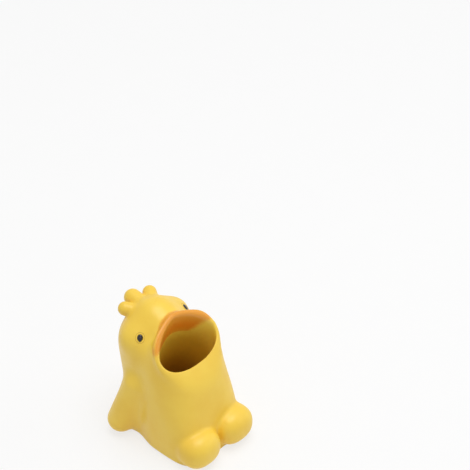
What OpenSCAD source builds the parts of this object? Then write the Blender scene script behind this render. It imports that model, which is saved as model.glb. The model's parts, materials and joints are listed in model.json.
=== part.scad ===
// Countertop stand for one brush handle, shaped as a young bird with its head
// thrown back and its mouth wide open. The open mouth leads into a blind well.
// The bird faces -Y, its left side is +X and up is +Z. The counter is at z = 0.
// Sizes along Y are taken from a datum, a vertical line inside the bird, and heights
// from its base. The finished bird is then centred on its footprint.

/* [Body] */
// half width of the flat base
base_half_w = 17.3; // [16.8:0.1:18]
// half width at the level of the mouth
cheek_half_w = 17.3; // [16.8:0.1:17.8]
// how far the sides swell between base and mouth
side_swell = 1; // [0.6:0.1:1.6]
// distance from the datum to the front of the base
base_front = 18.2; // [17.5:0.1:19]
// distance from the datum to the chest under the lower lip
lip_front = 10.2; // [9.8:0.1:10.8]
// how far the chest swells between base and lip
chest_swell = 0.9; // [0.4:0.1:1.4]
// distance from the datum to the back of the base
base_back = 24.5; // [22:0.1:27]
// distance from the datum to the back of the neck
neck_back = 33.4; // [32:0.1:34]
// height at which the mouth and neck sizes above are taken
cheek_z = 50; // [48:0.5:52]
// height at which the neck turns over into the head
neck_z = 49; // [48:0.5:50]

/* [Head] */
// half width of the head
head_half_w = 15.7; // [15.1:0.1:16.3]
// half length of the head, front to back
head_half_d = 18.4; // [17.7:0.1:19.1]
// half height of the head
head_half_h = 20.6; // [19.9:0.1:21.3]
// distance from the datum back to the middle of the head
head_y = 15.4; // [15:0.1:15.8]
// height of the middle of the head
head_z = 47.3; // [46.6:0.1:48]
// distance up the plane of the mouth at which the forehead starts
brow_len = 12.5; // [12:0.1:13]
// how far the forehead starts under the plane of the mouth
brow_dip = 2; // [1.6:0.1:2.4]
// slope of the forehead from level
brow_tilt = 50; // [48:0.5:52]

/* [Mouth and well] */
// slope of the open mouth from level
mouth_tilt = 45; // [43:0.5:47]
// distance from the datum forward to the middle of the mouth
mouth_front = 1.3; // [0.8:0.1:1.8]
// height of the middle of the mouth
mouth_z = 55.9; // [55.3:0.1:56.5]
// half width of the mouth
mouth_half_w = 15.5; // [15:0.1:15.8]
// length of the mouth from its widest line to the lower lip
mouth_low = 9; // [8.5:0.1:9.4]
// length of the mouth from its widest line to the upper beak
mouth_high = 12.6; // [12:0.1:13]
// distance of the widest line below the middle of the mouth
mouth_drop = 2; // [1.5:0.1:2.5]
// radius of the rounded rim at the lower lip
rim_low = 1; // [0.9:0.1:1.2]
// radius of the rounded rim at the upper beak
rim_high = 1.3; // [1:0.1:1.4]
// how far the well is hollowed backwards under the upper beak
palate_depth = 4.5; // [3:0.5:5]
// height of the floor of the well
well_floor = 7; // [5:0.5:12]
// half width of the floor of the well
well_half_w = 11; // [9:0.5:12]
// half length of the floor of the well
well_half_d = 11.5; // [9:0.5:12.5]
// distance from the datum back to the middle of the floor
well_y = 3.5; // [2:0.5:5]

/* [Upper beak] */
// radius of the rounded ridge of the beak
beak_round = 1.5; // [1.4:0.1:1.6]
// height of the ridge over the rim of the mouth
beak_rise = 0.3; // [0.2:0.1:0.4]
// thickness of the beak shell
beak_wall = 0.9; // [0.8:0.1:1]
// length of the palate down the wall of the mouth
palate_len = 11; // [8:0.5:13]

/* [Eyes] */
// distance of each eye from the middle plane
eye_x = 13.8; // [13.2:0.1:14.4]
// distance from the datum back to the eyes
eye_y = 13.6; // [12.5:0.1:14.2]
// height of the eyes
eye_z = 56.1; // [55.2:0.1:57]
// half width of an eye bead
eye_half_w = 1.25; // [1:0.05:1.5]
// half height of an eye bead
eye_half_h = 1.75; // [1.4:0.05:2]
// half thickness of an eye bead
eye_half_t = 1.1; // [0.9:0.05:1.3]

/* [Crest] */
// radius of the tip of the middle lobe
crest_r = 3.9; // [3.4:0.1:4.1]
// radius of the tips of the side lobes
side_crest_r = 3.2; // [2.8:0.1:3.4]
// distance of a side lobe tip from the middle plane
crest_spread = 7.5; // [7:0.1:8]
// distance from the datum back to the tip of the middle lobe
crest_y = 32.5; // [31.5:0.1:33]
// distance from the datum back to the tips of the side lobes
side_crest_y = 29.5; // [28.8:0.1:30]
// height of the tips of the lobes
crest_z = 60; // [59:0.1:61]

/* [Wings] */
// radius of a wing at the shoulder
shoulder_r = 5.4; // [5:0.1:5.8]
// radius of a wing at its tip
wing_r = 6.3; // [5.8:0.1:6.4]
// shoulder distance from the middle plane
shoulder_x = 16; // [15.6:0.1:16.6]
// distance from the datum back to the shoulder
shoulder_y = 15.4; // [15:0.1:16.6]
// height of the shoulder
shoulder_z = 30; // [28:0.1:31]
// wing tip distance from the middle plane
wing_x = 20; // [19:0.1:21]
// distance from the datum back to the wing tip
wing_y = 21.6; // [20.5:0.1:22.5]
// height of the middle of the wing tip
wing_z = 6.5; // [6.4:0.1:7.5]

/* [Feet] */
// radius of a foot where it leaves the belly
heel_r = 6.4; // [5.6:0.1:6.6]
// radius of a foot at the toe end
toe_r = 8.7; // [8:0.1:8.8]
// heel distance from the middle plane
heel_x = 10; // [9:0.1:11]
// distance from the datum forward to the heel
heel_front = 13.5; // [13:0.1:15]
// toe distance from the middle plane
toe_x = 11.4; // [10.8:0.1:12]
// distance from the datum forward to the middle of the toe end
toe_front = 17.8; // [17:0.1:18.6]
// height of the middle of a foot
foot_z = 8.8; // [8.8:0.1:9.2]

/* [Pads] */
// diameter of a non-slip pad
pad_d = 7; // [5:0.5:8]
// thickness of a pad
pad_t = 1.4; // [1:0.1:2]
// how far a pad stands out of the base
pad_proud = 0.4; // [0.3:0.1:0.8]
// pad distance from the middle plane
pad_x = 10.5; // [9:0.5:11.5]
// distance from the datum forward to the front pads
pad_front = 11; // [9:0.5:12]
// distance from the datum back to the back pads
pad_back = 16; // [13:0.5:18]

/* [Fits] */
// glue gap around each bonded piece
glue_gap = 0.1; // [0.05:0.01:0.2]
// overrun of the cuts
cut = 1.5; // [1:0.1:2]

/* [Fineness] */
// columns around half of the body skin
half_columns = 26; // [16:1:30]
// rows that fan up the body from the base towards the mouth
fan_rows = 14; // [10:1:16]
// rows from the fan to the rim of the mouth
plane_rows = 6; // [4:1:8]
// steps around a bonded piece
piece_steps = 40; // [24:4:56]

/* [Hidden] */
// shape numbers without a length
base_square = 5.5;
square_rise_share = 1.25;
low_share = -0.1;
high_share = 1.3;
small_share = 0.02;
chest_square = 2.4;
back_square = 2.8;
upper_square = 1.75;
lower_square = 2.6;
well_square = 2.4;
head_square = 1.88;
halvings = 16;
rim_flat = 0.9;
well_rows = 12;
well_top_share = 0.93;
palate_share = 1.5;
even_share = 0.5;
turn_share = 0.9;
// where the torso is widest, at the base and at the level of the mouth
base_mid = 3;
cheek_mid = 2.5;
// softness of the joins between the forms of the body
neck_soft = 12;
cheek_soft = 10;
cheek_back = 4;
cheek_top = 64;
top_soft = 6;
join_soft = 8;
crown_soft = 8;
rim_soft_low = 7;
rim_soft_high = 3.4;
brow_soft = 4;
lip_soft_low = 2.5;
lip_soft_high = 1;
// a length that clears the whole part from inside
reach = 60;

yellow = [0.96, 0.81, 0.33];
orange = [0.93, 0.60, 0.17];
black = [0.06, 0.04, 0.05];
clear_grey = [0.75, 0.76, 0.76];

// soft joining and soft cutting of two distances
function join(a, b, k) =
    let (h = max(k - abs(a - b), 0) / k)
    min(a, b) - h * h * k / 4;
function carve(a, b, k) = -join(-a, -b, k);

// distance to an egg shape about its middle
function oval_gap(p, half) =
    let (n = head_square,
         m = pow(pow(abs(p[0]) / half[0], n) + pow(abs(p[1]) / half[1], n)
                 + pow(abs(p[2]) / half[2], n), 1 / n))
    (1 - 1 / max(m, small_share)) * norm(p);

// even rise from 0 to 1
function rise(u) =
    let (v = min(max(u, 0), 1))
    v * v * (3 - 2 * v);
function mix(a, b, u) = a + (b - a) * u;

// distance to the torso, a rounded box whose size follows the height
function torso_gap(p) =
    let (s = min(max(p[2] / cheek_z, low_share), high_share),
         w = 4 * s * (1 - s),
         square = rise(s * square_rise_share),
         mid = mix(base_mid, cheek_mid, s),
         v = p[1] - mid,
         ahead = v < 0,
         deep = ahead ? mid + mix(base_front, lip_front, s) + chest_swell * w
                      : mix(base_back, neck_back, s) - mid,
         wide = mix(base_half_w, cheek_half_w, s) + side_swell * w,
         n = mix(base_square, ahead ? chest_square : back_square, square),
         m = pow(pow(abs(p[0]) / wide, n) + pow(abs(v) / deep, n), 1 / n))
    (1 - 1 / max(m, small_share)) * norm([p[0], v]);

// directions of the mouth plane, up along it and out of it, and the slope of the forehead
mouth_mid = [0, -mouth_front, mouth_z];
mouth_up = [0, cos(mouth_tilt), sin(mouth_tilt)];
mouth_out = [0, -sin(mouth_tilt), cos(mouth_tilt)];
brow_from = mouth_mid + brow_len * mouth_up - brow_dip * mouth_out;
brow_out = [0, -sin(brow_tilt), cos(brow_tilt)];

// distance of the mouth edge from the middle of its widest line, with t = 0 at the lower lip
function edge_reach(across, along) =
    let (n = along > 0 ? lower_square : upper_square)
    pow(pow(abs(across) / mouth_half_w, n)
        + pow(abs(along) / (along > 0 ? mouth_low : mouth_high), n), -1 / n);

// how much of the upper beak's fullness the rim has, from lower lip to beak
function upper_share(along) = rise(even_share - turn_share * along);

// distance to the rounded rim that runs round the mouth just under its plane
function rim_gap(across, along, d, h) =
    let (r = mix(rim_low, rim_high, upper_share(along)))
    norm([(d - edge_reach(across, along)) * rim_flat - r, h + r]) - r;

// distance to the whole body before the mouth is cut open
function body_gap(p) =
    let (t = torso_gap(p),
         neck = carve(t, p[2] - neck_z, neck_soft),
         cheeks = carve(carve(t, p[2] - cheek_top, top_soft), p[1] - cheek_back, cheek_soft),
         m = p - mouth_mid,
         dome = oval_gap(p - [0, head_y, head_z], [head_half_w, head_half_d, head_half_h]),
         head = carve(dome, (p - brow_from) * brow_out, brow_soft),
         down = -m * mouth_up - mouth_drop,
         d = max(norm([m[0], down]), rim_low / reach),
         along = down / d,
         rim = rim_gap(m[0] / d, along, d, m * mouth_out))
    let (upper = upper_share(along),
         whole = join(join(neck, head, join_soft), cheeks, crown_soft))
    carve(join(whole, rim, mix(rim_soft_low, rim_soft_high, upper)), m * mouth_out,
          mix(lip_soft_low, lip_soft_high, upper));

// first point outside the body along a direction from an inner point
function skin_point(from, dir, low, high, left) =
    let (m = (low + high) / 2)
    left == 0 ? from + m * dir
    : body_gap(from + m * dir) < 0 ? skin_point(from, dir, m, high, left - 1)
    : skin_point(from, dir, low, m, left - 1);

// The skin is found in rows. The rows fan out from a line inside the body and turn
// from level, at the base, to the slope of the mouth. Then they climb the axis of
// the mouth and go round its rim.
columns = 2 * half_columns;
mouth_axis = mouth_mid - mouth_drop * mouth_up;
fan_depth = 10;
fan_y = 4;
fan_end = mouth_axis - fan_depth * mouth_out;

// turns around the rim from its underside to nearly its top
rim_turns = [-50, -10, 25, 55, 78];
skin_rows = fan_rows + plane_rows + len(rim_turns) + 1;

// height of a row over the mouth plane, for the rows that are parallel to it
function row_height(i, along) =
    let (r = mix(rim_low, rim_high, upper_share(along)),
         k = i - fan_rows)
    k <= plane_rows ? mix(-fan_depth, -2 * r, k / plane_rows)
    : -r * (1 - sin(rim_turns[k - plane_rows - 1]));

// one row of half the skin, from the middle of the front to the middle of the back
function half_row(i) =
    let (u = min(i / fan_rows, 1),
         tilt = mouth_tilt * u)
    [for (j = [0 : half_columns])
        let (t = 180 * j / half_columns,
             dir = [sin(t), -cos(t) * cos(tilt), -cos(t) * sin(tilt)],
             from = i <= fan_rows ? mix([0, fan_y, 0], fan_end, u)
                                  : mouth_axis + row_height(i, cos(t)) * mouth_out)
        skin_point(from, dir, 0, reach, halvings)];

function full_row(half) =
    [for (j = [0 : columns - 1])
        j <= half_columns ? half[j]
        : let (p = half[columns - j]) [-p[0], p[1], p[2]]];

// faces between the points of neighbouring rows
function row_faces(rows, across) =
    [for (i = [0 : rows - 2], j = [0 : across - 1])
        each let (a = i * across + j,
                  b = i * across + (j + 1) % across,
                  c = a + across,
                  d = b + across)
        (i + j) % 2 == 0 ? [[a, c, b], [b, c, d]] : [[a, d, b], [a, c, d]]];

// points in closed rows, with a flat first row and a last row that closes on its middle
module closed_rows(rows, top) {
    across = len(rows[0]);
    count = len(rows);
    last = (count - 1) * across;
    polyhedron(concat([for (r = rows) each r], [top]), concat(
        row_faces(count, across),
        [[for (j = [0 : across - 1]) j]],
        [for (j = [0 : across - 1]) [last + j, count * across, last + (j + 1) % across]]));
}

module body_skin() {
    closed_rows([for (i = [0 : skin_rows - 1]) full_row(half_row(i))],
                mouth_axis - small_share * rim_low * mouth_out);
}

// edge of the mouth in its own plane, t = 0 at the lower lip
function mouth_edge(t, grow) =
    let (r = edge_reach(sin(t), cos(t)) + grow)
    mouth_mid + [r * sin(t), 0, 0] - (mouth_drop + r * cos(t)) * mouth_up;

// The sections of the well turn evenly from the level floor, u = 0, to the mouth, u = 1,
// and are hollowed backwards under the upper beak.
well_mid = [0, well_y, well_floor];
function well_point(u, t) =
    let (low = cos(t) > 0,
         tilt = mouth_tilt * u,
         n = mix(well_square, low ? lower_square : upper_square, u),
         wide = mix(well_half_w, mouth_half_w, u),
         deep = mix(well_half_d, low ? mouth_low : mouth_high, u)
                + (low ? 0 : palate_depth * sin(180 * pow(u, palate_share))),
         r = pow(pow(abs(sin(t)) / wide, n) + pow(abs(cos(t)) / deep, n), -1 / n))
    mix(well_mid, mouth_axis, u) + r * [sin(t), -cos(t) * cos(tilt), -cos(t) * sin(tilt)];

// direction away from the middle of the mouth in its plane
function edge_out(t) = [sin(t), 0, 0] - cos(t) * mouth_up;

// radius of the rim around the mouth
function rim_r(t) = mix(rim_low, rim_high, upper_share(cos(t)));

// inner half of the rounded rim, from the wall, turn = 0, to the top, turn = 90
function rim_inside(t, turn) =
    mouth_edge(t, rim_r(t) / rim_flat * (1 - cos(turn))) - rim_r(t) * (1 - sin(turn)) * mouth_out;

inside_turns = [0, 30, 60, 80];
module well() {
    turns = [for (j = [0 : piece_steps - 1]) 360 * j / piece_steps];
    wall = [for (u = [0 : 1 / well_rows : well_top_share]) [for (t = turns) well_point(u, t)]];
    rim = [for (turn = inside_turns) [for (t = turns) rim_inside(t, turn)]];
    over = [for (t = turns) rim_inside(t, inside_turns[3]) + cut * mouth_out];
    closed_rows(concat(wall, rim, [over]), mouth_axis + cut * mouth_out);
}

// how full the beak shell is along its length, thin at both mouth corners
beak_from = 108;
beak_steps = 26;
tip_share = 0.3;
function beak_share(u) = max(tip_share, sqrt(max(sin(180 * u), 0)));

// turns of the rounded ridge, from the palate side over the top to the outside
ridge_turns = [180, 150, 120, 90, 60, 30, 5];

// section of the beak shell: up the palate and over the ridge, then back beneath
function beak_section(t, u, grow, over) =
    let (k = beak_share(u),
         e = edge_out(t),
         length = norm(well_point(0, t) - mouth_edge(t, 0)),
         low = 1 - (palate_len * k + grow) / length,
         mid = (low + 1) / 2,
         outer = beak_round * k + grow,
         wall = beak_wall * k + 2 * grow,
         ridge = mouth_edge(t, beak_round * k) + (beak_rise - beak_round) * k * mouth_out)
    concat([well_point(low, t) - e * over, well_point(mid, t) - e * over],
           [for (a = ridge_turns)
               ridge + (outer + over * min(a / 60, 1)) * (cos(a) * e + sin(a) * mouth_out)],
           [for (i = [len(ridge_turns) - 1 : -1 : 0]) let (a = ridge_turns[i])
               ridge + (outer - wall) * (cos(a) * e + sin(a) * mouth_out)],
           [well_point(mid, t) + e * (wall - grow), well_point(low, t) + e * (wall - grow)]);

module beak_shell(grow, over) {
    rows = [for (i = [0 : beak_steps])
            let (u = i / beak_steps,
                 t = mix(beak_from, 360 - beak_from, u) + grow * (2 * u - 1) * 4)
            beak_section(t, u, grow, over)];
    across = len(rows[0]);
    last = beak_steps * across;
    polyhedron([for (r = rows) each r], concat(
        row_faces(beak_steps + 1, across),
        [for (k = [0 : across / 2 - 2]) [k, k + 1, across - 2 - k, across - 1 - k]],
        [for (k = [0 : across / 2 - 2])
            [last + across - 1 - k, last + across - 2 - k, last + k + 1, last + k]]));
}

// where an eye sits on the head, and the way that it faces
function eye_spot(side) =
    let (from = [0, head_y, head_z],
         d = [side * eye_x, eye_y, eye_z] - from)
    skin_point(from, d / norm(d), 0, reach, halvings);
function skin_normal(p) =
    let (step = glue_gap / 2,
         g = [body_gap(p + [step, 0, 0]) - body_gap(p - [step, 0, 0]),
              body_gap(p + [0, step, 0]) - body_gap(p - [0, step, 0]),
              body_gap(p + [0, 0, step]) - body_gap(p - [0, 0, step])])
    g / norm(g);

// a closed egg shape about a middle, on three given directions
module pebble(mid, a, b, c, half, rings, across) {
    rows = [for (i = [1 : rings - 1]) each
            [for (j = [0 : across - 1])
                let (e = -90 + 180 * i / rings, t = 360 * j / across)
                mid + a * half[0] * cos(e) * cos(t) + b * half[1] * cos(e) * sin(t)
                + c * half[2] * sin(e)]];
    low = (rings - 1) * across;
    last = (rings - 2) * across;
    polyhedron(concat(rows, [mid - c * half[2], mid + c * half[2]]), concat(
        row_faces(rings - 1, across),
        [for (j = [0 : across - 1]) [j, (j + 1) % across, low]],
        [for (j = [0 : across - 1]) [last + j, low + 1, last + (j + 1) % across]]));
}

module eye_bead(side, grow) {
    spot = eye_spot(side);
    out = skin_normal(spot);
    tall = mouth_up - (mouth_up * out) * out;
    up = tall / norm(tall);
    pebble(spot - out * eye_half_t / 2, cross(up, out), up, out,
           [eye_half_w + grow, eye_half_h + grow, eye_half_t + grow], 10, 20);
}

// half outline of a drop: a round end of radius ra at the start, one of rb at the far end
function drop_outline(length, ra, rb) =
    let (lean = asin((ra - rb) / length), n = 9)
    concat([for (i = [0 : n]) let (e = -90 + (90 + lean) * i / n) [ra * cos(e), ra * sin(e)]],
           [for (i = [0 : n]) let (e = lean + (90 - lean) * i / n)
               [rb * cos(e), length + rb * sin(e)]]);

// drop from a to b
module drop(a, b, ra, rb) {
    d = b - a;
    translate(a)
        rotate([0, acos(d[2] / norm(d)), atan2(d[1], d[0])])
            rotate_extrude($fn = 48)
                polygon(drop_outline(norm(d), ra, rb));
}

module wing_form(side, grow) {
    drop([side * shoulder_x, shoulder_y, shoulder_z], [side * wing_x, wing_y, wing_z],
         shoulder_r + grow, wing_r + grow);
}

module foot_form(side, grow) {
    drop([side * heel_x, -heel_front, foot_z], [side * toe_x, -toe_front, foot_z],
         heel_r + grow, toe_r + grow);
}

// the lobes spring from the back of the head, where their fat roots run together
crest_root_share = 1.05;
root_rise_share = 0.57;
crest_root_y = head_y + head_half_d / 2;
crest_root_z = head_z + head_half_h * root_rise_share;
crest_root_x = crest_spread / 2;
module crest_form(grow) {
    drop([0, crest_root_y, crest_root_z], [0, crest_y, crest_z],
         crest_r * crest_root_share + grow, crest_r + grow);
    for (side = [-1, 1])
        drop([side * crest_root_x, crest_root_y, crest_root_z],
             [side * crest_spread, side_crest_y, crest_z],
             side_crest_r * crest_root_share + grow, side_crest_r + grow);
}

module pad_form(x, y, grow) {
    translate([x, y, -pad_proud])
        cylinder(h = pad_t, d = pad_d + 2 * grow, $fn = 48);
}

// every piece stands on the pads, so the base floats just over the counter, and the
// middle between toes and crest comes over the origin
front_y = -toe_front - toe_r;
back_y = crest_y + crest_r;
module on_counter() {
    translate([0, -(front_y + back_y) / 2, pad_proud])
        children();
}

module body() {
    color(yellow) on_counter() difference() {
        body_skin();
        well();
        beak_shell(glue_gap, cut);
        crest_form(glue_gap);
        for (side = [-1, 1]) {
            eye_bead(side, glue_gap);
            wing_form(side, glue_gap);
            foot_form(side, glue_gap);
            pad_form(side * pad_x, -pad_front, glue_gap);
            pad_form(side * pad_x, pad_back, glue_gap);
        }
    }
}

module upper_beak() {
    color(orange) on_counter() beak_shell(0, 0);
}

module eye(side) {
    color(black) on_counter() eye_bead(side, 0);
}

module crest() {
    color(yellow) on_counter() union() crest_form(0);
}

module wing(side) {
    color(yellow) on_counter() wing_form(side, 0);
}

module foot(side) {
    color(yellow) on_counter() foot_form(side, 0);
}

module pad(x, y) {
    color(clear_grey) on_counter() pad_form(x, y, 0);
}

body();
upper_beak();
eye(1);  // eye_left
eye(-1);  // eye_right
crest();
wing(1);  // wing_left
wing(-1);  // wing_right
foot(1);  // foot_left
foot(-1);  // foot_right
pad(pad_x, -pad_front);  // pad_front_left
pad(-pad_x, -pad_front);  // pad_front_right
pad(pad_x, pad_back);  // pad_back_left
pad(-pad_x, pad_back);  // pad_back_right
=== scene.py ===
import json
import math

import bpy
import numpy as np
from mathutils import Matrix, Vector

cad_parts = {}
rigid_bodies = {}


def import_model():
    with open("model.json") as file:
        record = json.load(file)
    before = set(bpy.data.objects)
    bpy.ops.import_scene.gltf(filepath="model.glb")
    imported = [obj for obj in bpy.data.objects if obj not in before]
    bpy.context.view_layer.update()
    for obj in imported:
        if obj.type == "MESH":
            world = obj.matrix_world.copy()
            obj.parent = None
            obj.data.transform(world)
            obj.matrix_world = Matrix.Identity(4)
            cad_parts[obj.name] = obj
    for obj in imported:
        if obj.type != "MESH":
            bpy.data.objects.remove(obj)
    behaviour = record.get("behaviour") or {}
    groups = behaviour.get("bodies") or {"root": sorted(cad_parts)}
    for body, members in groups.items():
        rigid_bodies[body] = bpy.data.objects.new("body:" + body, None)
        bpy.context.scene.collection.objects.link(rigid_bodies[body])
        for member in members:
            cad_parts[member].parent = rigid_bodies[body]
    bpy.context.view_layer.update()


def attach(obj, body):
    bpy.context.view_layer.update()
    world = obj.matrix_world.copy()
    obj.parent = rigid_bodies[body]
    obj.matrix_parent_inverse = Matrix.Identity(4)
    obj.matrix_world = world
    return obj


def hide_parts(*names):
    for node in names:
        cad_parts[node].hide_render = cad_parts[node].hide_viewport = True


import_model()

# The bird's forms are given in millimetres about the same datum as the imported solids.
# The datum stands behind the middle of the footprint, and the base floats over the counter.
MM = 0.001
TOES_Y, CREST_END_Y = -26.5, 36.4
PAD_PROUD = 0.4
TO_ROW = np.array([0, -(TOES_Y + CREST_END_Y) / 2, PAD_PROUD])

# Torso: half widths, fronts and backs at the base and at the level of the mouth.
BASE_HALF_W, CHEEK_HALF_W, SIDE_SWELL = 17.3, 16.4, 1.0
BASE_FRONT, LIP_FRONT, CHEST_SWELL = 18.2, 8.5, 0.9
BASE_BACK, NECK_BACK = 24.5, 33.5
BASE_MID, CHEEK_MID = 3.0, 2.5
CHEEK_Z, NECK_Z, NECK_SOFT = 50.0, 49.0, 12.0
BASE_SQUARE, CHEST_SQUARE, BACK_SQUARE = 5.5, 2.4, 2.8
SQUARE_PACE = 1.25
TORSO_FROM, TORSO_TO = -0.1, 1.3
BASE_SOFT = 1.0

# Head, temples, forehead and cheeks.
HEAD_HALF = np.array([14.0, 15.1, 21.7])
HEAD_MID = np.array([0, 18.0, 44.0])
HEAD_SQUARE, HEAD_SOFT = 2.13, 8.0
TEMPLE_MID = np.array([12.0, 19.1, 51.3])
TEMPLE_R = 6.1
BROW_LEN, BROW_DIP, BROW_SOFT = 12.0, 0.8, 4.0
BROW_TILT = math.radians(63)
CHEEK_TOP, CHEEK_TOP_SOFT = 63.0, 6.0
CHEEK_BACK, CHEEK_BACK_SOFT = 6.2, 7.0

# Mouth: a tilted plane, a rounded rim and the well under it.
TILT = math.radians(52.5)
MOUTH_MID = np.array([0, -0.5, 55.3])
MOUTH_UP = np.array([0, math.cos(TILT), math.sin(TILT)])
MOUTH_OUT = np.array([0, -math.sin(TILT), math.cos(TILT)])
MOUTH_HALF_W, MOUTH_LOW, MOUTH_HIGH, MOUTH_DROP = 16.1, 9.7, 12.2, 1.7
LOWER_SQUARE, UPPER_SQUARE, UPPER_PACE = 2.3, 1.55, 0.9
RIM_LOW, RIM_HIGH, RIM_STRETCH = 0.7, 0.5, 0.9
RIM_SOFT_LOW, RIM_SOFT_HIGH = 6.3, 4.2
LIP_SOFT_LOW, LIP_SOFT_HIGH = 2.5, 1.3
BROW_FROM = MOUTH_MID + BROW_LEN * MOUTH_UP - BROW_DIP * MOUTH_OUT
BROW_OUT = np.array([0, -math.sin(BROW_TILT), math.cos(BROW_TILT)])
WELL_MID = np.array([0, 3.5, 7.0])
WELL_HALF_W, WELL_HALF_D, WELL_SQUARE = 11.0, 10.5, 2.4
WELL_FLOOR_SOFT, WELL_MOUTH_SOFT = 4.0, 1.6
WELL_ROUNDS, WELL_START_TO, WELL_FROM, WELL_TO, WELL_LEAST_SLOPE = 6, 1.2, -0.2, 1.3, -10
PALATE_BULGE = 0.5

# Limbs: drops with two ends and a radius at each, and how softly they meet the body.
WING_DROP = (16, 15.4, 30), (20, 21.6, 6.5), 5.4, 6.3
HEEL_DROP = (10, -13.5, 8.8), (10.3, -16.4, 8.6), 6.4, 7.2
TOE_MID, TOE_HALF = np.array([10.35, -17.8, 8.4]), np.array([9.8, 8.3, 8.35])
TOE_SQUARE, TOE_SOFT = 2.4, 2.0
CREST_MIDDLE = (0, 23.7, 58.4), (0, 32.5, 59.4), 4.1, 3.9
CREST_SIDE = (3.75, 23.7, 58.4), (7.5, 29.5, 59.4), 3.4, 3.2
LOBE_SOFT = 0.8
WING_SOFT, FOOT_SOFT, CREST_SOFT = 5.0, 1.8, 1.2

# The grid that the skin is found on.
SKIN_LOW, SKIN_HIGH = (-27, -27.2, -0.7), (27, 37, 67.5)
STEP = 0.45
SKIN_ROUNDS = 2

# Where the beak ends on the skin: along the mouth's plane, outward from its edge,
# and down from its plane outside and inside.
BEAK_TURN, BEAK_REACH, BEAK_DROP, BEAK_DEPTH = -0.14, 3.0, 3.0, 9.0
WELL_SKIN = 0.6

# Where each coat of paint and each painted shade ends, and over what length it fades.
BAND_REACH, BAND_TURN, BAND_DROP = (3.9, 2.4), (-0.02, 0.3), (-5.5, 3.0)
PALATE_TURN, PALATE_DROP = (0.02, 0.45), (-9.4, 0.9)
# Painted shade: the orange deepens down the palate, and the well darkens with depth.
PALATE_SHADE_FROM, WELL_SHADE_FROM = (-0.5, 6.0), (-1.5, 34.0)

# Eyes: a drop-shaped bead with a painted highlight, and a fine line of painted shade around it.
EYE_AT = np.array([13.8, 13.6, 56.1])
EYE_HALF_W, EYE_HALF_H, EYE_RISE = 1.3, 1.7, 0.55
EYE_PINCH, EYE_BELOW, EYE_ABOVE = 0.45, 1.06, 0.94
EYE_RINGS, EYE_SIDES = 14, 40
PAINTED_HIGHLIGHT_X, PAINTED_HIGHLIGHT_Y, PAINTED_HIGHLIGHT_HALF_W, PAINTED_HIGHLIGHT_HALF_H, PAINTED_HIGHLIGHT_TOP = 0.15, 0.35, 0.42, 0.55, 0.3
LINE_GAP, LINE_R, LINE_SUNK = 0.75, 0.13, 0.45
LINE_SIDES, LINE_STEPS = 6, 56
SPOT_REACH, SPOT_ROUNDS, LINE_ROUNDS = 40.0, 24, 3

# Guards for powers and divisions.
TINY, LEAST_D, LEAST, LEAST_SLOPE = 1e-9, 1e-6, 0.02, 0.05


def join(a, b, soft):
    """Two forms joined with a rounded valley between them."""
    h = np.maximum(soft - np.abs(a - b), 0) / soft
    return np.minimum(a, b) - h * h * soft / 4


def carve(a, b, soft):
    """What two forms share, with a rounded edge."""
    return -join(-a, -b, soft)


def rise(u):
    """Even rise from 0 to 1."""
    v = np.clip(u, 0, 1)
    return v * v * (3 - 2 * v)


def grows(value, start, length):
    """0 up to a start, then an even rise to 1."""
    return rise((value - start) / length)


def falls(value, end, length):
    """1 far below an end, falling evenly to 0 there."""
    return rise((end - value) / length)


def mix(a, b, u):
    """Value between a and b at the share u."""
    return a + (b - a) * u


def measure(shares, square):
    """1 on a rounded section or egg, from how far out a point is along each half size."""
    return sum((np.abs(share) + TINY) ** square for share in shares) ** (1 / square)


def ray_gap(m, d):
    """Distance to a form along the ray from its middle, where the measure is m."""
    return (1 - 1 / np.maximum(m, LEAST)) * d


def torso_gap(p):
    """Distance to the torso, a rounded box whose size follows the height."""
    s = np.clip(p[:, 2] / CHEEK_Z, TORSO_FROM, TORSO_TO)
    swell = 4 * s * (1 - s)
    mid = mix(BASE_MID, CHEEK_MID, s)
    v = p[:, 1] - mid
    ahead = v < 0
    front = mid + mix(BASE_FRONT, LIP_FRONT, s) + CHEST_SWELL * swell
    deep = np.where(ahead, front, mix(BASE_BACK, NECK_BACK, s) - mid)
    wide = mix(BASE_HALF_W, CHEEK_HALF_W, s) + SIDE_SWELL * swell
    upper_square = np.where(ahead, CHEST_SQUARE, BACK_SQUARE)
    square = mix(BASE_SQUARE, upper_square, rise(s * SQUARE_PACE))
    return ray_gap(measure((p[:, 0] / wide, v / deep), square), np.hypot(p[:, 0], v))


def egg_gap(p, half, square):
    """Distance to an egg shape about its middle."""
    return ray_gap(measure((p / half).T, square), np.linalg.norm(p, axis=1))


def mouth_frame(p):
    """Direction and distance from the middle of the mouth's widest line, and height over it."""
    m = p - MOUTH_MID
    down = -m @ MOUTH_UP - MOUTH_DROP
    d = np.maximum(np.hypot(p[:, 0], down), LEAST_D)
    return p[:, 0] / d, down / d, d, m @ MOUTH_OUT


def edge_reach(across, along):
    """Distance of the mouth's edge in a direction of its plane."""
    low = along > 0
    square = np.where(low, LOWER_SQUARE, UPPER_SQUARE)
    length = np.where(low, MOUTH_LOW, MOUTH_HIGH)
    return 1 / measure((across / MOUTH_HALF_W, along / length), square)


def upper_share(along):
    """0 at the lower lip, 1 at the upper beak."""
    return rise(0.5 - UPPER_PACE * along)


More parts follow.
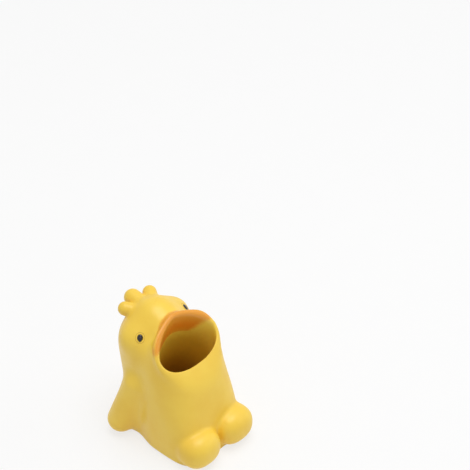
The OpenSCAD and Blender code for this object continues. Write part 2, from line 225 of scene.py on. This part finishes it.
def well_section(p):
    """Which of the well's sections holds a point, and how far down the section it is.

    The sections turn evenly from the level floor (0) to the mouth (1). The section starts from
    the point's height and is bettered in a few rounds.
    """
    run = MOUTH_MID - MOUTH_DROP * MOUTH_UP - WELL_MID
    u = np.clip((p[:, 2] - WELL_MID[2]) / run[2], 0, WELL_START_TO)
    for _ in range(WELL_ROUNDS):
        sin, cos = np.sin(TILT * u), np.cos(TILT * u)
        ahead = p[:, 1] - WELL_MID[1] - run[1] * u
        over = p[:, 2] - WELL_MID[2] - run[2] * u
        off = cos * over - sin * ahead
        slope = sin * run[1] - cos * run[2] - TILT * (cos * ahead + sin * over)
        u = np.clip(u - off / np.minimum(slope, WELL_LEAST_SLOPE), WELL_FROM, WELL_TO)
    return np.clip(u, 0, 1), -(np.cos(TILT * u) * ahead + np.sin(TILT * u) * over)


def well_gap(p):
    """Distance to the well."""
    s, along = well_section(p)
    low = along > 0
    square = mix(WELL_SQUARE, np.where(low, LOWER_SQUARE, UPPER_SQUARE), s)
    wide = mix(WELL_HALF_W, MOUTH_HALF_W, s)
    bulge = PALATE_BULGE * np.sin(math.pi * s**1.5)
    deep = np.where(low, mix(WELL_HALF_D, MOUTH_LOW, s), mix(WELL_HALF_D, MOUTH_HIGH, s) + bulge)
    side = ray_gap(measure((p[:, 0] / wide, along / deep), square), np.hypot(p[:, 0], along))
    return carve(side, WELL_MID[2] - p[:, 2], WELL_FLOOR_SOFT)


def drop_gap(p, a, b, ra, rb):
    """Distance to a drop, two balls of radius ra at a and rb at b and the skin around both."""
    a, b = np.array(a, float), np.array(b, float)
    axis = b - a
    length2 = axis @ axis
    taper = ra - rb
    cone2 = length2 - taper * taper
    pa = p - a
    y = pa @ axis
    z = y - length2
    x2 = ((pa * length2 - y[:, None] * axis) ** 2).sum(1)
    limit = np.sign(taper) * taper * taper * x2
    near = np.sqrt(x2 + y * y * length2) / length2 - ra
    far = np.sqrt(x2 + z * z * length2) / length2 - rb
    side = (np.sqrt(x2 * cone2 / length2) + y * taper) / length2 - ra
    side = np.where(np.sign(y) * cone2 * y * y * length2 < limit, near, side)
    return np.where(np.sign(z) * cone2 * z * z * length2 > limit, far, side)


def mirrored(p):
    """The points brought to the bird's left side."""
    q = p.copy()
    q[:, 0] = np.abs(q[:, 0])
    return q


def wing_gap(p):
    """Distance to the wings."""
    return drop_gap(mirrored(p), *WING_DROP)


def foot_gap(p):
    """Distance to the feet, each a round heel and a loaf of a toe end."""
    q = mirrored(p)
    return join(drop_gap(q, *HEEL_DROP), egg_gap(q - TOE_MID, TOE_HALF, TOE_SQUARE), TOE_SOFT)


def crest_gap(p):
    """Distance to the crest, one lobe in the middle and one at each side."""
    return join(drop_gap(p, *CREST_MIDDLE), drop_gap(mirrored(p), *CREST_SIDE), LOBE_SOFT)


def head_gap(p):
    """Distance to the head with its temples and its flat forehead."""
    temple = np.linalg.norm(mirrored(p) - TEMPLE_MID, axis=1) - TEMPLE_R
    head = join(egg_gap(p - HEAD_MID, HEAD_HALF, HEAD_SQUARE), temple, HEAD_SOFT)
    return carve(head, (p - BROW_FROM) @ BROW_OUT, BROW_SOFT)


def body_gap(p):
    """Distance to the body with its rim, before the limbs join it and the well is cut."""
    torso = torso_gap(p)
    neck = carve(torso, p[:, 2] - NECK_Z, NECK_SOFT)
    cheeks = carve(torso, p[:, 2] - CHEEK_TOP, CHEEK_TOP_SOFT)
    cheeks = carve(cheeks, p[:, 1] - CHEEK_BACK, CHEEK_BACK_SOFT)
    across, along, d, h = mouth_frame(p)
    upper = upper_share(along)
    r = mix(RIM_LOW, RIM_HIGH, upper)
    rim = np.hypot((d - edge_reach(across, along)) * RIM_STRETCH - r, h + r) - r
    whole = join(join(neck, head_gap(p), HEAD_SOFT), cheeks, HEAD_SOFT)
    whole = join(whole, rim, mix(RIM_SOFT_LOW, RIM_SOFT_HIGH, upper))
    return carve(whole, h, mix(LIP_SOFT_LOW, LIP_SOFT_HIGH, upper))


def bird_gap(p):
    """Distance to the whole bird."""
    whole = join(body_gap(p), wing_gap(p), WING_SOFT)
    whole = join(whole, foot_gap(p), FOOT_SOFT)
    whole = join(whole, crest_gap(p), CREST_SOFT)
    whole = carve(whole, -well_gap(p), WELL_MOUTH_SOFT)
    return carve(whole, -p[:, 2], BASE_SOFT)


def slope_of(field, p, step=0.02):
    """Direction in which a field grows, and how fast."""
    steps = np.eye(3) * step
    return np.stack([(field(p + s) - field(p - s)) / (2 * step) for s in steps], axis=1)


def settled(field, points, rounds, reach):
    """The points moved onto the surface where a field is zero."""
    for _ in range(rounds):
        slope = slope_of(field, points)
        move = -field(points) / np.maximum((slope * slope).sum(1), LEAST_SLOPE)
        points = points + slope * np.clip(move, -reach, reach)[:, None]
    return points


CORNERS = [(i, j, k) for i in (0, 1) for j in (0, 1) for k in (0, 1)]


def grid_values(field, axes):
    """The field at every point of a grid."""
    value = np.empty([len(a) for a in axes])
    y, z = (a.ravel() for a in np.meshgrid(axes[1], axes[2], indexing="ij"))
    for i, x in enumerate(axes[0]):
        row = np.stack([np.full(y.size, x), y, z], axis=1)
        value[i] = field(row).reshape(value[i].shape)
    return value


def crossed_cells(inside):
    """The cells of a grid that the surface runs through."""
    nx, ny, nz = (n - 1 for n in inside.shape)
    full = [inside[i : i + nx, j : j + ny, k : k + nz].astype(np.int8) for i, j, k in CORNERS]
    count = sum(full)
    return np.argwhere((count > 0) & (count < len(CORNERS)))


def cell_points(value, cells):
    """The mean of the places where the surface crosses each cell's edges, in grid steps."""
    total, hits = np.zeros((len(cells), 3)), np.zeros(len(cells))
    for a in CORNERS:
        for axis in range(3):
            if a[axis] == 0:
                b = [*a[:axis], 1, *a[axis + 1 :]]
                va, vb = value[tuple((cells + a).T)], value[tuple((cells + b).T)]
                cross = (va < 0) != (vb < 0)
                share = np.where(cross, va / np.where(cross, va - vb, 1), 0)
                at = np.array(a, float) + share[:, None] * (np.array(b) - np.array(a))
                total += at * cross[:, None]
                hits += cross
    return cells + total / hits[:, None]


def cell_faces(inside, number):
    """A face of four, turned outward, around each grid edge that the surface crosses."""
    shape = inside.shape
    faces = []
    for axis, (u, v) in enumerate([(1, 2), (2, 0), (0, 1)]):
        first = np.take(inside, range(shape[axis] - 1), axis=axis)
        second = np.take(inside, range(1, shape[axis]), axis=axis)
        edge = np.argwhere(first != second)
        edge = edge[(edge[:, u] > 0) & (edge[:, v] > 0)]
        edge = edge[(edge[:, u] < shape[u] - 1) & (edge[:, v] < shape[v] - 1)]
        around = []
        for du, dv in ((1, 1), (0, 1), (0, 0), (1, 0)):
            cell = edge.copy()
            cell[:, u] -= du
            cell[:, v] -= dv
            around.append(number[tuple(cell.T)])
        quad = np.stack(around, axis=1)
        outward = first[tuple(edge.T)]
        faces.append(np.where(outward[:, None], quad, quad[:, ::-1]))
    return np.concatenate(faces)


def skin_of(field, low, high, step):
    """The surface where a field is zero: points, their normals and faces of four."""
    value = grid_values(field, [np.arange(a, b + step, step) for a, b in zip(low, high)])
    inside = value < 0
    cells = crossed_cells(inside)
    number = np.full([n - 1 for n in inside.shape], -1)
    number[tuple(cells.T)] = np.arange(len(cells))
    start = np.array(low) + cell_points(value, cells) * step
    points = settled(field, start, SKIN_ROUNDS, step)
    normal = slope_of(field, points)
    normal /= np.linalg.norm(normal, axis=1, keepdims=True)
    return points, normal, cell_faces(inside, number)


def new_piece(name, points, faces, shares, normal=None):
    """A smooth piece with a value per point for each share, and its own normals if given."""
    mesh = bpy.data.meshes.new(name)
    mesh.from_pydata(((points + TO_ROW) * MM).tolist(), [], faces)
    mesh.polygons.foreach_set("use_smooth", [True] * len(mesh.polygons))
    if normal is not None:
        mesh.normals_split_custom_set_from_vertices(normal.tolist())
    for key, value in shares.items():
        attribute = mesh.attributes.new(key, "FLOAT", "POINT")
        attribute.data.foreach_set("value", value.astype(np.float32))
    obj = bpy.data.objects.new(name, mesh)
    bpy.context.scene.collection.objects.link(obj)
    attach(obj, "root")
    return obj


def owners(middle):
    """Which faces each node's piece owns, from the middles of the faces."""
    across, along, d, h = mouth_frame(middle)
    inside_well = well_gap(middle) < WELL_SKIN
    gaps = [body_gap(middle), wing_gap(middle), foot_gap(middle), crest_gap(middle)]
    owner = np.stack(gaps).argmin(axis=0)
    owner[inside_well] = 0
    left, upper = middle[:, 0] > 0, along < BEAK_TURN
    outside = d - edge_reach(across, along)
    beak = upper & (owner == 0) & (h > -BEAK_DROP) & (outside < BEAK_REACH)
    beak |= upper & inside_well & (h > -BEAK_DEPTH)
    return {
        "body": (owner == 0) & ~beak,
        "upper_beak": beak,
        "wing_left": (owner == 1) & left,
        "wing_right": (owner == 1) & ~left,
        "foot_left": (owner == 2) & left,
        "foot_right": (owner == 2) & ~left,
        "crest": owner == 3,
    }


def paint_shares(points):
    """How much of each coat of paint a point has, and how much painted shade it gets inside the
    mouth.
    """
    across, along, d, h = mouth_frame(points)
    inside = well_gap(points) < WELL_SKIN
    outside = d - edge_reach(across, along)
    band = falls(outside, *BAND_REACH) * falls(along, *BAND_TURN) * grows(h, *BAND_DROP)
    palate = grows(h, *PALATE_DROP) * falls(along, *PALATE_TURN)
    return {
        "orange": np.where(inside, palate, band),
        # Painted shade: the palate share deepens the orange down the palate, the deep share
        # darkens the well.
        "palate": np.where(inside, falls(h, *PALATE_SHADE_FROM), 0),
        "deep": np.where(inside, falls(h, *WELL_SHADE_FROM), 0),
    }


# One skin for the whole bird, split at the pieces. Each part keeps the whole skin's normals,
# so that no seam shows.
points, normal, faces = skin_of(bird_gap, SKIN_LOW, SKIN_HIGH, STEP)
shares = paint_shares(points)
for name, own in owners(points[faces].mean(axis=1)).items():
    used, back = np.unique(faces[own], return_inverse=True)
    part_shares = {key: value[used] for key, value in shares.items()}
    corners = back.reshape(-1, 4).tolist()
    obj = new_piece(name + "_skin", points[used], corners, part_shares, normal[used])
    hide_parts(name)


def skin_spot(toward):
    """Point of the skin on the way from the middle of the head, and the way it faces."""
    toward = toward / np.linalg.norm(toward)
    low, high = 0.0, SPOT_REACH
    for _ in range(SPOT_ROUNDS):
        half = (low + high) / 2
        if body_gap((HEAD_MID + toward * half)[None])[0] < 0:
            low = half
        else:
            high = half
    spot = HEAD_MID + toward * low
    out = slope_of(body_gap, spot[None])[0]
    return spot, out / np.linalg.norm(out)


def loop_faces(rows, per_row, closed):
    """Faces of four between rows of points, each row a loop."""
    faces = []
    for i in range(rows if closed else rows - 1):
        low, high = i * per_row, (i + 1) % rows * per_row
        for j in range(per_row):
            k = (j + 1) % per_row
            faces.append((low + j, low + k, high + k, high + j))
    return faces


def eye_bead(name, spot, wide, tall, out):
    """A drop-shaped bead, half of it sunk in the skin."""
    turn = np.arange(EYE_SIDES) * 2 * math.pi / EYE_SIDES
    rows, painted_highlight = [], []
    for i in range(1, EYE_RINGS):
        angle = math.pi * i / EYE_RINGS - math.pi / 2
        ring, height = math.cos(angle), math.sin(angle)
        x, y = np.cos(turn) * ring, np.sin(turn) * ring
        u = x * EYE_HALF_W * np.where(y < 0, 1 - EYE_PINCH * y * y, 1)
        v = y * EYE_HALF_H * np.where(y < 0, EYE_BELOW, EYE_ABOVE)
        rows.append(spot + np.outer(u, wide) + np.outer(v, tall) + out * EYE_RISE * height)
        # Painted highlight: a lighter patch on the bead's upper half.
        reach = np.hypot((u - PAINTED_HIGHLIGHT_X) / PAINTED_HIGHLIGHT_HALF_W, (v - PAINTED_HIGHLIGHT_Y) / PAINTED_HIGHLIGHT_HALF_H)
        painted_highlight.append(rise(1 - reach) * (height > 0))
    bottom = (EYE_RINGS - 1) * EYE_SIDES
    last = bottom - EYE_SIDES
    faces = loop_faces(EYE_RINGS - 1, EYE_SIDES, False)
    for j in range(EYE_SIDES):
        k = (j + 1) % EYE_SIDES
        faces.append((bottom, k, j))
        faces.append((bottom + 1, last + j, last + k))
    points = np.vstack([*rows, spot - out * EYE_RISE, spot + out * EYE_RISE])
    return new_piece(name, points, faces, {"painted_highlight": np.concatenate([*painted_highlight, [0, PAINTED_HIGHLIGHT_TOP]])})


def eye_shade_line(name, spot, wide, tall, out):
    """The fine line around an eye, a thin tube partly sunk in the skin that carries the painted
    shade of the groove around the eye.
    """
    half_w, half_h = EYE_HALF_W + LINE_GAP, EYE_HALF_H + LINE_GAP
    turn = np.arange(LINE_STEPS) * 2 * math.pi / LINE_STEPS
    oval = spot + np.outer(np.cos(turn) * half_w, wide) + np.outer(np.sin(turn) * half_h, tall)
    line = settled(body_gap, oval, LINE_ROUNDS, np.inf)
    rows = []
    for k in range(LINE_SIDES):
        a = 2 * math.pi * k / LINE_SIDES
        grow = 1 + LINE_R * math.cos(a) / half_w
        rows.append(spot + (line - spot) * grow + out * LINE_R * (math.sin(a) - LINE_SUNK))
    return new_piece(name, np.vstack(rows), loop_faces(LINE_SIDES, LINE_STEPS, True), {})


for side, name in ((1, "eye_left"), (-1, "eye_right")):
    spot, out = skin_spot(EYE_AT * np.array([side, 1, 1]) - HEAD_MID)
    tall = np.array([0, 0, 1]) - out[2] * out
    tall /= np.linalg.norm(tall)
    wide = np.cross(tall, out)
    bead = eye_bead(name + "_bead", spot, wide, tall, out)
    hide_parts(name)
    eye_shade_line(name + "_line", spot, wide, tall, out)


# Materials. Colours are linear red, green and blue.
YELLOW, YELLOW_SHADE = (0.93, 0.64, 0.07), (0.87, 0.54, 0.045)
# The second orange is painted shade: the beak's orange made deeper further down inside the mouth.
ORANGE_LIGHT, ORANGE_PAINTED_SHADE = (0.82, 0.33, 0.02), (0.80, 0.22, 0.004)
# Painted shade of the well, lighter near the mouth and darker deep down.
WELL_PAINTED_SHADE, WELL_DEEP_PAINTED_SHADE = (0.74, 0.46, 0.03), (0.36, 0.17, 0.008)
# The last eye colour is a painted highlight on the bead.
EYE_BLACK, EYE_SHADE, EYE_PAINTED_HIGHLIGHT = (0.006, 0.003, 0.004), (0.015, 0.008, 0.010), (0.07, 0.05, 0.08)
RUBBER, RUBBER_SHADE = (0.52, 0.54, 0.54), (0.40, 0.41, 0.40)
FLOOR, FLOOR_SHADE = (0.90, 0.90, 0.90), (0.885, 0.885, 0.885)
# Painted shade of the groove around each eye, for the thin line.
EYE_GROOVE_SHADE, EYE_GROOVE_SHADE_MOTTLE = (0.66, 0.42, 0.045), (0.52, 0.32, 0.03)
FLOOR_GLOW = 0.72
LIT_WORLD, SEEN_WORLD = 0.5, 1


def group(name, inputs, outputs):
    """Empty node group with named sockets, and its inner input and output nodes."""
    tree = bpy.data.node_groups.new(name, "ShaderNodeTree")
    for key, kind, value in inputs:
        socket = tree.interface.new_socket(key, in_out="INPUT", socket_type=kind)
        socket.default_value = value
    for key, kind in outputs:
        tree.interface.new_socket(key, in_out="OUTPUT", socket_type=kind)
    return tree, tree.nodes.new("NodeGroupInput"), tree.nodes.new("NodeGroupOutput")


def object_place(tree):
    """Place on the object, in metres."""
    return tree.nodes.new("ShaderNodeTexCoord").outputs["Object"]


def noise(tree, at, scale, detail, rough=0.5):
    """Cloudy value that changes with the place."""
    node = tree.nodes.new("ShaderNodeTexNoise")
    node.inputs["Scale"].default_value = scale
    node.inputs["Detail"].default_value = detail
    node.inputs["Roughness"].default_value = rough
    tree.links.new(at, node.inputs["Vector"])
    return node.outputs["Fac"]


def ranged(tree, value, span, to_span, smooth=False):
    """A value taken from one span to another."""
    node = tree.nodes.new("ShaderNodeMapRange")
    node.interpolation_type = "SMOOTHSTEP" if smooth else "LINEAR"
    tree.links.new(value, node.inputs["Value"])
    for key, number in zip(("From Min", "From Max", "To Min", "To Max"), (*span, *to_span)):
        node.inputs[key].default_value = number
    return node.outputs["Result"]


def math_of(tree, kind, a, b):
    """Two values, each a socket or a plain number, put together."""
    node = tree.nodes.new("ShaderNodeMath")
    node.operation = kind
    for socket, value in zip(node.inputs, (a, b)):
        if isinstance(value, (int, float)):
            socket.default_value = value
        else:
            tree.links.new(value, socket)
    return node.outputs["Value"]


def blend(tree, share, a, b):
    """Colour between two others, each a socket or plain numbers."""
    node = tree.nodes.new("ShaderNodeMix")
    node.data_type = "RGBA"
    tree.links.new(share, node.inputs["Factor"])
    for key, value in (("A", a), ("B", b)):
        if isinstance(value, tuple):
            node.inputs[key].default_value = (*value, 1)
        else:
            tree.links.new(value, node.inputs[key])
    return node.outputs["Result"]


LOOK_OUTPUTS = [
    ("Color", "NodeSocketColor"),
    ("Roughness", "NodeSocketFloat"),
    ("Height", "NodeSocketFloat"),
]


def satin_group():
    """Brushed satin coat: soft mottling, fine specks, uneven gloss and a faint orange peel."""
    tree, into, out = group(
        "satin coat",
        [
            ("Paint", "NodeSocketColor", (1, 1, 1, 1)),
            ("Shade", "NodeSocketColor", (0, 0, 0, 1)),
            ("Mottling", "NodeSocketFloat", 0.5),
            ("Gloss", "NodeSocketFloat", 0.4),
        ],
        LOOK_OUTPUTS,
    )
    paint, shade = into.outputs["Paint"], into.outputs["Shade"]
    at = object_place(tree)
    broad = ranged(tree, noise(tree, at, scale=70, detail=3), (0.35, 0.7), (0, 1), smooth=True)
    fine = noise(tree, at, scale=900, detail=3, rough=0.6)
    grain = noise(tree, at, scale=2600, detail=2)
    peel = noise(tree, at, scale=330, detail=2)

    speck = tree.nodes.new("ShaderNodeTexVoronoi")
    speck.inputs["Scale"].default_value = 420
    tree.links.new(at, speck.inputs["Vector"])
    dots = ranged(tree, speck.outputs["Distance"], (0.05, 0.13), (0.35, 0), smooth=True)
    rare = ranged(tree, noise(tree, at, scale=160, detail=1), (0.6, 0.68), (0, 1), smooth=True)
    color = blend(tree, math_of(tree, "MULTIPLY", broad, into.outputs["Mottling"]), paint, shade)
    color = blend(tree, math_of(tree, "MULTIPLY", dots, rare), color, shade)
    tree.links.new(color, out.inputs["Color"])

    uneven = ranged(tree, fine, (0.3, 0.7), (-0.05, 0.06))
    rubbed = ranged(tree, broad, (0, 1), (-0.04, 0.04))
    rough = math_of(tree, "ADD", into.outputs["Gloss"], math_of(tree, "ADD", uneven, rubbed))
    tree.links.new(rough, out.inputs["Roughness"])

    small = math_of(
        tree, "ADD", math_of(tree, "MULTIPLY", fine, 0.25), math_of(tree, "MULTIPLY", grain, 0.12)
    )
    height = math_of(tree, "ADD", math_of(tree, "MULTIPLY", peel, 0.7), small)
    tree.links.new(height, out.inputs["Height"])
    return tree


SATIN = satin_group()


def satin(tree, paint, shade, mottling, gloss):
    """The satin coat with its own values."""
    node = tree.nodes.new("ShaderNodeGroup")
    node.node_tree = SATIN
    node.inputs["Paint"].default_value = (*paint, 1)
    node.inputs["Shade"].default_value = (*shade, 1)
    node.inputs["Mottling"].default_value = mottling
    node.inputs["Gloss"].default_value = gloss
    return node


def bird_group():
    """Yellow satin and orange sprayed where the share says, with painted shade that deepens the
    orange down the palate and darkens the well with depth.
    """
    tree, into, out = group(
        "bird paint",
        [(key, "NodeSocketFloat", 0) for key in ("Orange", "Palate", "Deep")],
        LOOK_OUTPUTS,
    )
    coat = satin(tree, YELLOW, YELLOW_SHADE, mottling=0.45, gloss=0.42)
    cloud = noise(tree, object_place(tree), scale=620, detail=3, rough=0.6)
    ragged = ranged(tree, cloud, (0.3, 0.7), (-0.12, 0.12))
    spray = math_of(tree, "ADD", into.outputs["Orange"], ragged)
    spray = ranged(tree, spray, (0.1, 0.9), (0, 1), smooth=True)
    # Painted shade: the orange turns deeper further down the palate.
    orange = blend(tree, into.outputs["Palate"], ORANGE_LIGHT, ORANGE_PAINTED_SHADE)
    color = blend(tree, spray, coat.outputs["Color"], orange)
    # Painted shade: the well darkens with depth, with a little cloudy unevenness.
    well_shade_share = math_of(tree, "ADD", into.outputs["Deep"], math_of(tree, "MULTIPLY", ragged, 0.2))
    well_shade_color = blend(tree, ranged(tree, well_shade_share, (0.35, 1.0), (0, 1), smooth=True), WELL_PAINTED_SHADE, WELL_DEEP_PAINTED_SHADE)
    color = blend(tree, ranged(tree, well_shade_share, (0, 0.3), (0, 1), smooth=True), color, well_shade_color)
    tree.links.new(color, out.inputs["Color"])
    for key in ("Roughness", "Height"):
        tree.links.new(coat.outputs[key], out.inputs[key])
    return tree


BIRD = bird_group()


def material(name, coat=0.0, coat_rough=0.25, specular=0.5):
    """New material with its plain shader values."""
    m = bpy.data.materials.new(name)
    m.use_nodes = True
    shader = m.node_tree.nodes["Principled BSDF"]
    shader.inputs["Coat Weight"].default_value = coat
    shader.inputs["Coat Roughness"].default_value = coat_rough
    shader.inputs["Specular IOR Level"].default_value = specular
    return m, m.node_tree, shader


def dress(tree, shader, look, color=None):
    """Feeds a look's roughness, and its colour or one made from it, to the shader."""
    tree.links.new(look.outputs["Color"] if color is None else color, shader.inputs["Base Color"])
    tree.links.new(look.outputs["Roughness"], shader.inputs["Roughness"])


def relief(tree, shader, look, depth, strength):
    """Feeds a look's height to the shader as a fine bump."""
    bump = tree.nodes.new("ShaderNodeBump")
    bump.inputs["Distance"].default_value = depth
    bump.inputs["Strength"].default_value = strength
    tree.links.new(look.outputs["Height"], bump.inputs["Height"])
    tree.links.new(bump.outputs["Normal"], shader.inputs["Normal"])


def point_share(tree, name):
    """A value that the mesh keeps at its points."""
    node = tree.nodes.new("ShaderNodeAttribute")
    node.attribute_name = name
    return node.outputs["Fac"]


def bird_paint(name, coat):
    """The bird's paint under a clear coat."""
    m, tree, shader = material(name, coat)
    look = tree.nodes.new("ShaderNodeGroup")
    look.node_tree = BIRD
    for key in ("Orange", "Palate", "Deep"):
        tree.links.new(point_share(tree, key.lower()), look.inputs[key])
    dress(tree, shader, look)
    relief(tree, shader, look, depth=0.00025, strength=0.35)
    return m


def eye_paint():
    """Black gloss with a painted grey highlight above its middle."""
    m, tree, shader = material("eye black gloss", coat=0.35, coat_rough=0.04, specular=0.35)
    look = satin(tree, EYE_BLACK, EYE_SHADE, mottling=0.6, gloss=0.16)
    # Painted highlight on the bead.
    color = blend(tree, point_share(tree, "painted_highlight"), look.outputs["Color"], EYE_PAINTED_HIGHLIGHT)
    dress(tree, shader, look, color)
    relief(tree, shader, look, depth=0.00005, strength=0.2)
    return m


def pad_rubber():
    """Clear rubber, dulled by handling."""
    m, tree, shader = material("pad clear rubber", specular=0.4)
    look = satin(tree, RUBBER, RUBBER_SHADE, mottling=0.7, gloss=0.55)
    dress(tree, shader, look)
    relief(tree, shader, look, depth=0.00008, strength=0.4)
    return m


def groove_shade_paint():
    """Brownish yellow painted shade of the groove around an eye."""
    m, tree, shader = material("eye groove painted shade")
    dress(tree, shader, satin(tree, EYE_GROOVE_SHADE, EYE_GROOVE_SHADE_MOTTLE, mottling=0.6, gloss=0.5))
    return m


def seen(tree):
    """1 for rays from the camera and for those that metal or glass send on."""
    rays = tree.nodes.new("ShaderNodeLightPath").outputs
    sent_on = math_of(tree, "MAXIMUM", rays["Is Glossy Ray"], rays["Is Transmission Ray"])
    return math_of(tree, "MAXIMUM", rays["Is Camera Ray"], sent_on)


def floor_paint():
    """Matt white that keeps the shadow but looks almost as bright as the backdrop."""
    m, tree, shader = material("floor", specular=0.2)
    dress(tree, shader, satin(tree, FLOOR, FLOOR_SHADE, mottling=0.5, gloss=0.75))
    glow = tree.nodes.new("ShaderNodeEmission")
    both = tree.nodes.new("ShaderNodeMixShader")
    tree.links.new(math_of(tree, "MULTIPLY", seen(tree), FLOOR_GLOW), both.inputs["Fac"])
    tree.links.new(shader.outputs["BSDF"], both.inputs[1])
    tree.links.new(glow.outputs["Emission"], both.inputs[2])
    tree.links.new(both.outputs["Shader"], tree.nodes["Material Output"].inputs["Surface"])
    return m


BODY_PAINT = bird_paint("body yellow satin", 0.08)
BEAK_PAINT = bird_paint("beak orange satin", 0.12)
GROOVE_SHADE_PAINT = groove_shade_paint()
PAINT_BY_START = {"eye": eye_paint(), "upper_beak": BEAK_PAINT, "pad": pad_rubber()}


def paint_of(name):
    """The paint of a piece or a node; what has none of its own gets the body's."""
    if name.endswith("_line"):
        return GROOVE_SHADE_PAINT
    own = [paint for start, paint in PAINT_BY_START.items() if name.startswith(start)]
    return own[0] if own else BODY_PAINT


for o in bpy.data.objects:
    if o.type == "MESH":
        o.data.materials.clear()
        o.data.materials.append(paint_of(o.name))

# Floor, camera, backdrop and lamps. The camera's place is in millimetres about the datum.
FLOOR_HALF = 3
floor_mesh = bpy.data.meshes.new("floor")
floor_corners = [(-1, -1), (1, -1), (1, 1), (-1, 1)]
floor_points = [(x * FLOOR_HALF, y * FLOOR_HALF, 0) for x, y in floor_corners]
floor_mesh.from_pydata(floor_points, [], [(0, 1, 2, 3)])
floor = bpy.data.objects.new("floor", floor_mesh)
bpy.context.scene.collection.objects.link(floor)
floor.data.materials.append(floor_paint())

CAMERA_AT = np.array([-412.61, -424.30, 597.56])
CAMERA_DOWN, CAMERA_TURN = 39.307, -46.306
SENSOR_W, FOCAL_PX, PHOTO_PX = 36, 1845, 470
CLIP_END = 10
camera_data = bpy.data.cameras.new("camera")
camera_data.sensor_width = SENSOR_W
camera_data.lens = SENSOR_W * FOCAL_PX / PHOTO_PX
camera_data.clip_end = CLIP_END
camera = bpy.data.objects.new("camera", camera_data)
camera.location = ((CAMERA_AT + TO_ROW) * MM).tolist()
camera.rotation_euler = (math.radians(90 - CAMERA_DOWN), 0, math.radians(CAMERA_TURN))
bpy.context.scene.collection.objects.link(camera)
bpy.context.scene.camera = camera

world = bpy.data.worlds.new("world")
bpy.context.scene.world = world
world.use_nodes = True
backdrop = world.node_tree.nodes["Background"].inputs
backdrop["Color"].default_value = (1, 1, 1, 1)
strength = ranged(world.node_tree, seen(world.node_tree), (0, 1), (LIT_WORLD, SEEN_WORLD))
world.node_tree.links.new(strength, backdrop["Strength"])


LAMPS_TOWARD = Vector((0, 0, 0.03))


def lamp(name, place, size, power):
    """Square soft lamp turned to the bird."""
    data = bpy.data.lights.new(name, "AREA")
    data.size = size
    data.energy = power
    o = bpy.data.objects.new(name, data)
    o.location = place
    o.rotation_euler = (LAMPS_TOWARD - Vector(place)).to_track_quat("-Z", "Y").to_euler()
    bpy.context.scene.collection.objects.link(o)


lamp("key", (0.08, -0.06, 0.95), size=0.6, power=4.75)
lamp("fill", (0.7, -0.6, 0.45), size=0.7, power=1.1)
bpy.context.scene.view_settings.view_transform = "Standard"
